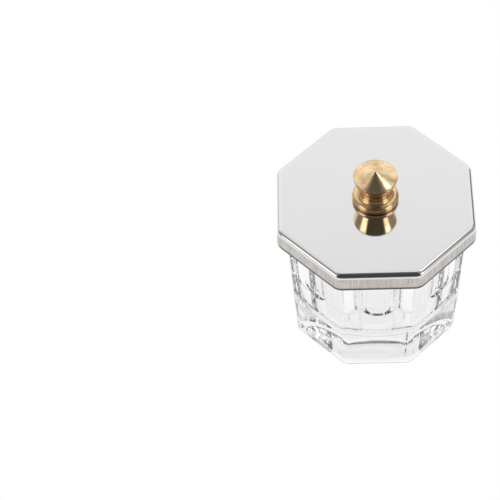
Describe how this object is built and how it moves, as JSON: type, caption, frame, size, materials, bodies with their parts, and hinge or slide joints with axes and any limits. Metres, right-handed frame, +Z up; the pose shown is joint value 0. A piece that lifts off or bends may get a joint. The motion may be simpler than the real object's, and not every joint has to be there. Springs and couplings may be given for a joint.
{
  "type": "dappen dish",
  "caption": "Octagonal pressed-glass dappen dish with a lift-off stamped steel lid and turned brass knob, for holding small amounts of nail liquid or powder.",
  "frame": {"origin": "centre of the cup's foot, on the surface the dish stands on", "axes": "+Z up along the axis of the cup, lid and knob; one flat side of the octagon faces -Y"},
  "size_m": [0.06, 0.06, 0.064],
  "materials": {
    "clear_glass": "clear pressed glass, fire-polished",
    "lid_steel": "polished top, finely brushed skirt",
    "knob_brass": "turned and polished",
    "fixing_steel": "bright zinc plated",
    "seal_silicone": "translucent white silicone, matt"
  },
  "bodies": {
    "cup": {"glass_cup": "clear_glass"},
    "lid": {"lid_shell": "lid_steel", "lid_knob": "knob_brass", "flat_washer": "fixing_steel", "lock_washer": "fixing_steel", "knob_screw": "fixing_steel", "seal_ring": "seal_silicone"}
  },
  "joints": [
    {"name": "lid_lift", "type": "slide", "parent": "cup", "child": "lid", "axis": [0, 0, 1], "range_m": [0, 0.045]}
  ]
}
